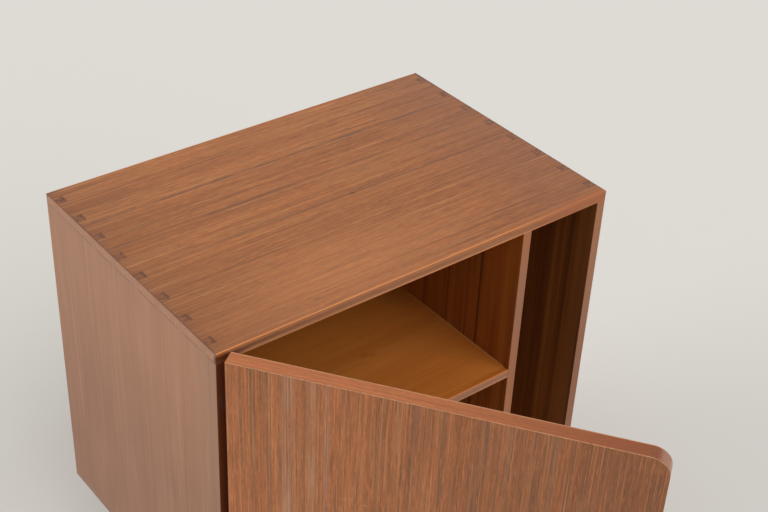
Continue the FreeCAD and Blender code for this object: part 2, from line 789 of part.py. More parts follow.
def hinge_screws():
    plate_screws, clamp_screws, leaf_screws = [], [], []
    for _, height in hinge_heights:
        y = pivot_y + s.hinge_plate_start
        for way in (-1, 1):
            screw = round_screw(s.hinge_screw_radius, s.hinge_screw_length, s.hinge_screw_head_radius,
                                s.hinge_screw_head_height)
            place(screw, pivot_x + arm_face, y + s.hinge_plate_screw_setback,
                  height + s.hinge_plate_screw_rise * way, Y_AXIS, 90)
            plate_screws.append(screw)
        screw = round_screw(s.clamp_screw_radius, s.arm_thickness + s.hinge_plate_thickness,
                            s.hinge_screw_head_radius, s.hinge_screw_head_height)
        place(screw, pivot_x + arm_face + s.arm_thickness, y + s.clamp_screw_setback, height, Y_AXIS, 90)
        clamp_screws.append(screw)
        for step in (0, 1):
            screw = round_screw(s.hinge_screw_radius, s.hinge_screw_length, s.hinge_screw_head_radius,
                                s.hinge_screw_head_height)
            place(screw, s.leaf_screw_first + s.leaf_screw_pitch * step, door_back, height, X_AXIS, -90)
            leaf_screws.append(screw)
    pieces.append(group("hinge_plate_screws", plate_screws))
    pieces.append(group("hinge_clamp_screws", clamp_screws))
    hang_on_pivot(group("hinge_leaf_screws", leaf_screws))


def catch():
    housing = new_body("catch_housing")
    half = s.catch_length / 2
    block = half - s.catch_foot_length
    low, high = s.catch_foot_height, s.catch_height
    loop = [(-half, 0), (half, 0), (half, low), (block, low),
            (block, high), (-block, high), (-block, low), (-half, low)]
    pad(housing, outlines(housing, "XZ_Plane", -s.catch_depth, [loop]), s.catch_depth)
    reach = s.magnet_length / 2 + s.magnet_clearance
    pocket = rectangle(-reach, low - s.magnet_clearance, reach, low + s.magnet_height + s.magnet_clearance)
    depth = s.magnet_depth + s.magnet_clearance
    cut(housing, outlines(housing, "XZ_Plane", -depth, [pocket]), depth)
    spots = [(catch_screw_reach * way, s.catch_depth / 2) for way in (-1, 1)]
    cut(housing, circles(housing, "XY_Plane", 0, spots, screw_fit), low)
    place(housing, catch_middle, catch_y, catch_floor)
    pieces.append(housing)

    magnet = new_body("catch_magnet")
    half = s.magnet_length / 2
    loop = rectangle(-half, low, half, low + s.magnet_height)
    pad(magnet, outlines(magnet, "XZ_Plane", -s.magnet_depth, [loop]), s.magnet_depth)
    place(magnet, catch_middle, catch_y, catch_floor)
    pieces.append(magnet)

    screws = []
    for way in (-1, 1):
        screw = round_screw(s.hinge_screw_radius, s.hinge_screw_length - snug, s.hinge_screw_head_radius,
                            s.hinge_screw_head_height)
        place(screw, catch_middle + catch_screw_reach * way, catch_y + s.catch_depth / 2,
              catch_floor + s.catch_foot_height)
        screws.append(screw)
    pieces.append(group("catch_screws", screws))

    strike = new_body("catch_strike")
    x, z = strike_spot
    half = s.strike_length / 2
    rise = s.strike_height / 2
    plate = rectangle(x - half, z - rise, x + half, z + rise)
    pad(strike, outlines(strike, "XZ_Plane", -door_back - s.strike_thickness, [plate]), s.strike_thickness)
    peg = circles(strike, "XZ_Plane", -door_back, [(x, z)], s.strike_peg_radius)
    pad(strike, peg, s.strike_peg_length - snug)
    hang_on_pivot(strike)


def door_bumpers():
    # Two felt dots on the door's back, where it closes on the divider.
    x = divider_left + s.divider_thickness / 2 - pivot_x
    dots = []
    for z in (door_top - s.bumper_inset, door_bottom + s.bumper_inset):
        dot = doc.addObject("Part::Cylinder", "bumper")
        bind(dot, "Radius", s.bumper_radius)
        bind(dot, "Height", s.bumper_thickness)
        place(dot, x, door_back, z, X_AXIS, -90)
        dots.append(dot)
    hang_on_pivot(group("door_bumpers", dots))


def check_model():
    for item in doc.Objects:
        if "Invalid" in item.State or "Error" in item.State:
            raise RuntimeError(f"{item.Name} failed: {item.State}")
    for item in pieces:
        shape = item.Shape
        if shape.isNull() or not shape.isValid() or not shape.Solids:
            raise RuntimeError(f"{item.Label} has no valid solid")


top_board()
bottom_board()
side_board("left_side", -1)
side_board("right_side", 1)
back_panel()
back_screws()
divider()
shelf()
legs()
door_veneers()
door_core()
door_lippings()
for which, height in hinge_heights:
    hinge_plate(which, height)
    hinge_arm(which, height)
    hinge_leaf(which, height)
    hinge_pin(which, height)
hinge_screws()
catch()
door_bumpers()
doc.recompute()
check_model()

os.makedirs("parts", exist_ok=True)
for item in pieces:
    item.Shape.exportStep(f"parts/{item.Label}.step")
    print(item.Label, len(item.Shape.Solids), round(item.Shape.Volume / 1000, 2), "cm3")
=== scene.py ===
import json
import math
import bpy
import numpy as np
from mathutils import Euler, Matrix, Vector

# A teak bedside cabinet with its door ajar: the finish of every piece, the floor, the light and the camera.

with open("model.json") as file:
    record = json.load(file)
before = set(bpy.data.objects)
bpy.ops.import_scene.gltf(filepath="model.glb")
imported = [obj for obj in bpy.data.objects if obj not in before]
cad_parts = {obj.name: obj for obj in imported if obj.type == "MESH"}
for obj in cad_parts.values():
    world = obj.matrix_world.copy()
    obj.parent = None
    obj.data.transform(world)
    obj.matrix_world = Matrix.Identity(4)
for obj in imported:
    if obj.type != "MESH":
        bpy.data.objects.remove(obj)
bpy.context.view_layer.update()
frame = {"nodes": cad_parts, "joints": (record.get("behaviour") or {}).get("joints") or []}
nodes = frame["nodes"]
print("frame loaded:", len(nodes), "nodes")

# the door is drawn open; these turn a point of it back to the shut door, with the hinge pivot as the origin
hinge = frame["joints"][0]
doorAngle = -math.radians(hinge["range_deg"][0])
doorTurn = Euler((0, 0, doorAngle))
doorShift = -(doorTurn.to_matrix() @ Vector(hinge["pos_m"]))
doorShift.z = 0

mmPerMetre = 1000
noiseMiddle = 0.5   # noise runs from 0 to 1
# a Mix node set to colours, with the numbers of its two colour inputs and its colour output
colourMix = {"data_type": "RGBA"}
mixFrom, mixTo, mixed = 6, 7, 2


def linear(hexColour):
    # sRGB hex to linear light: divided by 12.92 near black, a 2.4 power above that
    values = np.array([int(hexColour[start:start + 2], 16) for start in (1, 3, 5)]) / 255
    return (*np.where(values <= 0.04045, values / 12.92, ((values + 0.055) / 1.055) ** 2.4), 1.0)


def addNode(tree, kind, settings=None, links=None):
    # one shader node: settings are its properties or its sockets' values, links are socket: source
    node = tree.nodes.new(kind)
    for key, value in (settings or {}).items():
        if key == "stops":
            ramp = node.color_ramp
            while len(ramp.elements) < len(value):
                ramp.elements.new(1.0)
            for element, (position, colour) in zip(ramp.elements, value):
                element.position = position
                element.color = linear(colour)
        elif isinstance(key, str) and hasattr(node, key):
            setattr(node, key, value)
        else:
            node.inputs[key].default_value = value
    for key, source in (links or {}).items():
        tree.links.new(source, node.inputs[key])
    return node


def newMaterial(name):
    material = bpy.data.materials.new(name)
    material.use_nodes = True
    tree = material.node_tree
    tree.nodes.clear()
    return material, tree


def dress(material, *names):
    for name in names:
        for slot in nodes[name].material_slots:
            slot.material = material


def pieceBox(name, onDoor):
    # lowest and highest corner of a node in metres, in the shut door's own frame for a door piece
    mesh = nodes[name].data
    points = np.zeros(len(mesh.vertices) * 3, np.float32)
    mesh.vertices.foreach_get("co", points)
    points = points.reshape(-1, 3)
    if onDoor:
        points = points @ np.array(doorTurn.to_matrix()).T + np.array(doorShift)
    return points.min(0), points.max(0)


# turns that lay the grain along X and the board's width along Y, for boards that lie flat,
# stand front to back or stand side to side
grainTurns = {
    "flat": Matrix.Identity(3).to_euler(),
    "deep": Matrix(((0, 0, 1), (0, 1, 0), (-1, 0, 0))).to_euler(),
    "wide": Matrix(((0, 0, 1), (1, 0, 0), (0, 1, 0))).to_euler(),
}

# what all the teak shares, in millimetres unless a note says otherwise
teak = {
    "waveLength": (500, 120, 120),     # how slowly the grain wanders
    "wave": 2,                         # and how far to each side
    "endGrainSize": (300, 4.5, 4.5),   # its pores are finer; drawn coarser so that they show
    "arris": (0.3, 1.5),               # in from a long edge, where the wear and painted highlight start to fade and where they end
    "facing": (0.5, 0.9),              # a face's normal one way, where it starts to count and fully counts
    "endFacing": (0.4, 0.7),           # the same for end grain
    "bandCore": 0.25,                  # share of a band's half width at full strength
    "markCore": 0.2,                   # share of a mark's reach at full strength
    "dashes": (0.4, 0.6),              # noise where a broken band is faintest and where it is whole
    "dashFaintest": 0.15,              # share of its strength
    "sheen": (0.38, 0.50),             # roughness of pale and dark wood
    "ior": 1.5,
    "bump": 0.00012,                   # metres
    "bumpStrength": 0.5,
    # noise nodes get coordinates that are already scaled
    "waveNoise": {"Scale": 1, "Detail": 1},
    "streakNoise": {"Scale": 1, "Detail": 3, "Roughness": 0.6},
    "dashNoise": {"noise_dimensions": "1D", "Scale": 1, "Detail": 2},
    "veinNoise": {"Scale": 1, "Detail": 1},
    "endNoise": {"Scale": 1, "Detail": 3, "Roughness": 0.7},
}


def oiledTeak(piece, look):
    # Teak, planed, oiled and rubbed: long streaks along the grain, short dark pores, darker end grain,
    # brighter arrises painted as wear and highlight, painted light and shade where a board lists it, and a
    # soft sheen that picks up the floor.
    onDoor = look.get("onDoor", False)
    material, tree = newMaterial("oiledTeak_" + piece)
    coordinates = addNode(tree, "ShaderNodeTexCoord").outputs
    spot, facing = coordinates["Object"], coordinates["Normal"]
    if onDoor:
        spot = addNode(tree, "ShaderNodeMapping", {"Location": doorShift, "Rotation": doorTurn},
                       {"Vector": spot}).outputs[0]
        facing = addNode(tree, "ShaderNodeMapping", {"vector_type": "NORMAL", "Rotation": doorTurn},
                         {"Vector": facing}).outputs[0]
    turn = grainTurns[look["grain"]]
    log = addNode(tree, "ShaderNodeMapping", {"Rotation": turn, "Scale": (mmPerMetre,) * 3},
                  {"Vector": spot}).outputs[0]
    facing = addNode(tree, "ShaderNodeMapping", {"vector_type": "NORMAL", "Rotation": turn},
                     {"Vector": facing}).outputs[0]
    along, across, through = addNode(tree, "ShaderNodeSeparateXYZ", links={0: log}).outputs
    lengthwise, sideways, upward = addNode(tree, "ShaderNodeSeparateXYZ", links={0: facing}).outputs
    glancing, square = teak["facing"]
    cut = addNode(tree, "ShaderNodeVectorMath", {"operation": "ADD", 1: look["cut"]}, {0: log}).outputs[0]

    # the grain wanders a little across the board
    slow = addNode(tree, "ShaderNodeVectorMath", {"operation": "DIVIDE", 1: teak["waveLength"]}, {0: cut})
    drift = addNode(tree, "ShaderNodeTexNoise", teak["waveNoise"], {"Vector": slow.outputs[0]})
    sway = teak["wave"] / noiseMiddle
    bent = addNode(tree, "ShaderNodeVectorMath", {"operation": "MULTIPLY_ADD", 1: (0, sway, sway)},
                   {0: drift.outputs[1], 2: cut}).outputs[0]

    # streaks: noise drawn out along the grain, each layer with its length, width and weight
    level = noiseMiddle - sum(weight for _, _, weight in look["streaks"]) * noiseMiddle
    tone = None
    for length, width, weight in look["streaks"]:
        scaled = addNode(tree, "ShaderNodeVectorMath", {"operation": "DIVIDE", 1: (length, width, width)},
                         {0: bent})
        layer = addNode(tree, "ShaderNodeTexNoise", teak["streakNoise"], {"Vector": scaled.outputs[0]})
        tone = addNode(tree, "ShaderNodeMath", {"operation": "MULTIPLY_ADD", 1: weight, 2: level},
                       {0: layer.outputs[0], **({2: tone} if tone else {})}).outputs[0]

    # staves glued edge to edge, each with its own tone
    if "staveWidth" in look:
        count = addNode(tree, "ShaderNodeMath", {"operation": "SUBTRACT", 1: look["staveStart"]}, {0: across})
        count = addNode(tree, "ShaderNodeMath", {"operation": "DIVIDE", 1: look["staveWidth"]},
                        {0: count.outputs[0]})
        stave = addNode(tree, "ShaderNodeMath", {"operation": "FLOOR"}, {0: count.outputs[0]})
        shade = addNode(tree, "ShaderNodeTexWhiteNoise", {"noise_dimensions": "1D"}, {"W": stave.outputs[0]})
        apart = addNode(tree, "ShaderNodeMath", {"operation": "SUBTRACT", 1: noiseMiddle},
                        {0: shade.outputs[0]})
        tone = addNode(tree, "ShaderNodeMath", {"operation": "MULTIPLY_ADD", 1: look["staveContrast"]},
                       {0: apart.outputs[0], 2: tone}).outputs[0]
    colour = addNode(tree, "ShaderNodeValToRGB", {"stops": look["palette"]}, {0: tone}).outputs[0]

    # the face inside the cabinet has had less light and kept a deeper colour; where the inside palette is the
    # darker copy, that colour is painted shade
    if "inside" in look:
        side = addNode(tree, "ShaderNodeMapRange",
                       {"From Min": glancing * look["inside"], "From Max": square * look["inside"]},
                       {"Value": upward})
        deeper = addNode(tree, "ShaderNodeValToRGB", {"stops": look["insidePalette"]}, {0: tone})
        colour = addNode(tree, "ShaderNodeMix", colourMix,
                         {0: side.outputs[0], mixFrom: colour, mixTo: deeper.outputs[0]}).outputs[mixed]

    # bands at a known place across, along or through the board: glue lines, stripes, lighter or darker
    # stretches and on some boards painted light and shade, whole or broken by a noise of their own
    measures = {"along": (along, across), "across": (across, along), "through": (through, along)}
    faintest, whole = teak["dashes"]
    for direction, at, half, strength, dashLength, tint in look["bands"]:
        measured, other = measures[direction]
        away = addNode(tree, "ShaderNodeMath", {"operation": "SUBTRACT", 1: at}, {0: measured})
        away = addNode(tree, "ShaderNodeMath", {"operation": "ABSOLUTE"}, {0: away.outputs[0]})
        band = addNode(tree, "ShaderNodeMapRange",
                       {"From Min": half, "From Max": half * teak["bandCore"], "To Max": strength},
                       {"Value": away.outputs[0]})
        if dashLength:
            dash = addNode(tree, "ShaderNodeMath", {"operation": "MULTIPLY_ADD", 1: 1 / dashLength, 2: at},
                           {0: other})
            dash = addNode(tree, "ShaderNodeTexNoise", teak["dashNoise"], {"W": dash.outputs[0]})
            dash = addNode(tree, "ShaderNodeMapRange",
                           {"From Min": faintest, "From Max": whole, "To Min": teak["dashFaintest"]},
                           {"Value": dash.outputs[0]})
            band = addNode(tree, "ShaderNodeMath", {"operation": "MULTIPLY"},
                           {0: band.outputs[0], 1: dash.outputs[0]})
        colour = addNode(tree, "ShaderNodeMix", {**colourMix, mixTo: linear(tint)},
                         {0: band.outputs[0], mixFrom: colour}).outputs[mixed]

    # veins: only the peaks of a thin noise, as pores, pale fibres or grey streaks;
    # real pores are 0.2 wide and are drawn coarser so that they show
    for length, width, low, high, strength, tint in look["veins"]:
        scaled = addNode(tree, "ShaderNodeVectorMath", {"operation": "DIVIDE", 1: (length, width, width)},
                         {0: bent})
        noise = addNode(tree, "ShaderNodeTexNoise", teak["veinNoise"], {"Vector": scaled.outputs[0]})
        peaks = addNode(tree, "ShaderNodeMapRange", {"From Min": low, "From Max": high, "To Max": strength},
                        {"Value": noise.outputs[0]})
        colour = addNode(tree, "ShaderNodeMix", {**colourMix, mixTo: linear(tint)},
                         {0: peaks.outputs[0], mixFrom: colour}).outputs[mixed]

    # rubbed arrises, painted lighter as wear and as a highlight: close to two of the four long faces
    low, high = pieceBox(look["node"], onDoor)
    ends = np.array([low, high]) @ np.array(turn.to_matrix()).T * mmPerMetre
    centre = (ends[0] + ends[1]) / 2
    reach = abs(ends[1] - ends[0]) / 2
    inset = addNode(tree, "ShaderNodeVectorMath", {"operation": "SUBTRACT", 1: centre}, {0: log})
    inset = addNode(tree, "ShaderNodeVectorMath", {"operation": "ABSOLUTE"}, {0: inset.outputs[0]})
    inset = addNode(tree, "ShaderNodeVectorMath", {"operation": "SUBTRACT", 0: reach}, {1: inset.outputs[0]})
    nearEnd, nearSide, nearFace = addNode(tree, "ShaderNodeSeparateXYZ", links={0: inset.outputs[0]}).outputs
    edge = addNode(tree, "ShaderNodeMath", {"operation": "MAXIMUM"}, {0: nearSide, 1: nearFace})
    solid, fade = teak["arris"]
    arrisWornAndLit = addNode(tree, "ShaderNodeMapRange",
                   {"From Min": fade, "From Max": solid, "To Max": look["arrisWearAndHighlight"]},
                   {"Value": edge.outputs[0]})
    colour = addNode(tree, "ShaderNodeMix", {**colourMix, mixTo: linear(look["arrisWearAndHighlightColour"])},
                     {0: arrisWornAndLit.outputs[0], mixFrom: colour}).outputs[mixed]

    # end grain where the face looks along the grain: cut pores as dots
    endGlancing, endSquare = teak["endFacing"]
    end = addNode(tree, "ShaderNodeMath", {"operation": "ABSOLUTE"}, {0: lengthwise})
    end = addNode(tree, "ShaderNodeMapRange", {"From Min": endGlancing, "From Max": endSquare},
                  {"Value": end.outputs[0]})
    scaled = addNode(tree, "ShaderNodeVectorMath", {"operation": "DIVIDE", 1: teak["endGrainSize"]}, {0: cut})
    dots = addNode(tree, "ShaderNodeTexNoise", teak["endNoise"], {"Vector": scaled.outputs[0]})
    endColour = addNode(tree, "ShaderNodeValToRGB", {"stops": look["endGrain"]}, {0: dots.outputs[0]})
    colour = addNode(tree, "ShaderNodeMix", colourMix,
                     {0: end.outputs[0], mixFrom: colour, mixTo: endColour.outputs[0]}).outputs[mixed]

    # Knots, small marks and larger lighter or darker ovals; several ovals are painted light and others
    # painted shade
    for place, size, strength, tint in look["knotsAndPaintedLight"]:
        away = addNode(tree, "ShaderNodeVectorMath", {"operation": "SUBTRACT", 1: place}, {0: log})
        away = addNode(tree, "ShaderNodeVectorMath", {"operation": "DIVIDE", 1: size}, {0: away.outputs[0]})
        away = addNode(tree, "ShaderNodeVectorMath", {"operation": "LENGTH"}, {0: away.outputs[0]})
        markMask = addNode(tree, "ShaderNodeMapRange",
                       {"interpolation_type": "SMOOTHSTEP", "From Min": 1, "From Max": teak["markCore"],
                        "To Max": strength},
                       {"Value": away.outputs["Value"]})
        colour = addNode(tree, "ShaderNodeMix", {**colourMix, mixTo: linear(tint)},
                         {0: markMask.outputs[0], mixFrom: colour}).outputs[mixed]

    # dark arrises round the end grain
    edge = addNode(tree, "ShaderNodeMath", {"operation": "MINIMUM"}, {0: nearSide, 1: nearFace})
    edge = addNode(tree, "ShaderNodeMath", {"operation": "MAXIMUM"}, {0: nearEnd, 1: edge.outputs[0]})
    dark = addNode(tree, "ShaderNodeMapRange",
                   {"From Min": fade, "From Max": solid, "To Max": look["endArris"]},
                   {"Value": edge.outputs[0]})
    colour = addNode(tree, "ShaderNodeMix", {**colourMix, mixTo: linear(look["endArrisColour"])},
                     {0: dark.outputs[0], mixFrom: colour}).outputs[mixed]

    # a front edge that has faded; on the left side the front edge is painted shade behind the open door
    if "frontFadeAndShade" in look:
        front = addNode(tree, "ShaderNodeMapRange",
                        {"From Min": -glancing, "From Max": -square, "To Max": look["frontFadeAndShade"]},
                        {"Value": sideways})
        colour = addNode(tree, "ShaderNodeMix", {**colourMix, mixTo: linear(look["frontFadeAndShadeColour"])},
                         {0: front.outputs[0], mixFrom: colour}).outputs[mixed]

    pale, dull = teak["sheen"]
    rough = addNode(tree, "ShaderNodeMapRange", {"To Min": dull, "To Max": pale}, {"Value": tone})
    relief = addNode(tree, "ShaderNodeBump", {"Strength": teak["bumpStrength"], "Distance": teak["bump"]},
                     {"Height": tone})
    shader = addNode(tree, "ShaderNodeBsdfPrincipled", {"IOR": teak["ior"]},
                     {"Base Color": colour, "Roughness": rough.outputs[0], "Normal": relief.outputs[0]})
    addNode(tree, "ShaderNodeOutputMaterial", links={"Surface": shader.outputs[0]})
    dress(material, look["node"])


# the plain board: streaks as (length, width, weight), veins as (length, width, from, to, strength, colour),
# bands as (direction, place, half width, strength, dash length, colour) with no dashes at length 0,
# palettes and end grain as (tone, colour),
# grain marks, flecks and patches of painted light and shade as ((along, across, through), (length, width,
# depth), strength, colour) with half measures;
# cut is where in the log the board lies, so that no two boards have the same grain;
# inside is the way its face in the cabinet looks, 1 or -1 through the board
endless = 1e6   # the depth of a knot that goes right through
board = {
    "grain": "flat", "cut": (0, 0, 0),
    "streaks": [(900, 34, 0.28), (600, 5, 0.25), (450, 2.2, 0.48), (24, 1.7, 0.40), (8, 1.5, 0.42)],
    "palette": [(0.30, "#7d451e"), (0.46, "#975628"), (0.56, "#a3622f"), (0.72, "#b6763f")],
    "veins": [(240, 2.1, 0.57, 0.75, 0.5, "#5b361a"), (90, 1.8, 0.58, 0.75, 0.45, "#5b361a"),
              (30, 1.6, 0.57, 0.75, 0.45, "#5b361a"), (16, 1.5, 0.58, 0.76, 0.4, "#5b361a"),
              (160, 2.0, 0.57, 0.76, 0.4, "#c48a58")],
    "bands": [], "knotsAndPaintedLight": [],
    "endGrain": [(0.34, "#4a230d"), (0.66, "#865030")],
    "arrisWearAndHighlight": 0.6, "arrisWearAndHighlightColour": "#b9682c",
    "endArris": 0.5, "endArrisColour": "#6a4029",
}
tailEnds = [(0.3, "#9d6a4c"), (0.7, "#b07e5f")]
unfaded = [(0.25, "#8a4a1b"), (0.5, "#a86427"), (0.75, "#bd7b38")]
# a darker copy of the inside colour: painted shade for the slot's wall and the back panel
paintedShadeInside = [(0.28, "#4d2a10"), (0.5, "#7b471d"), (0.72, "#a06a34")]
faded = [(0.25, "#855537"), (0.5, "#976445"), (0.75, "#a97655")]
softVeins = [(160, 2.4, 0.57, 0.77, 0.25, "#71503a")]
deepVeins = [(90, 2, 0.54, 0.72, 0.4, "#5a2a0c"), (120, 2.2, 0.56, 0.74, 0.3, "#c8823f")]

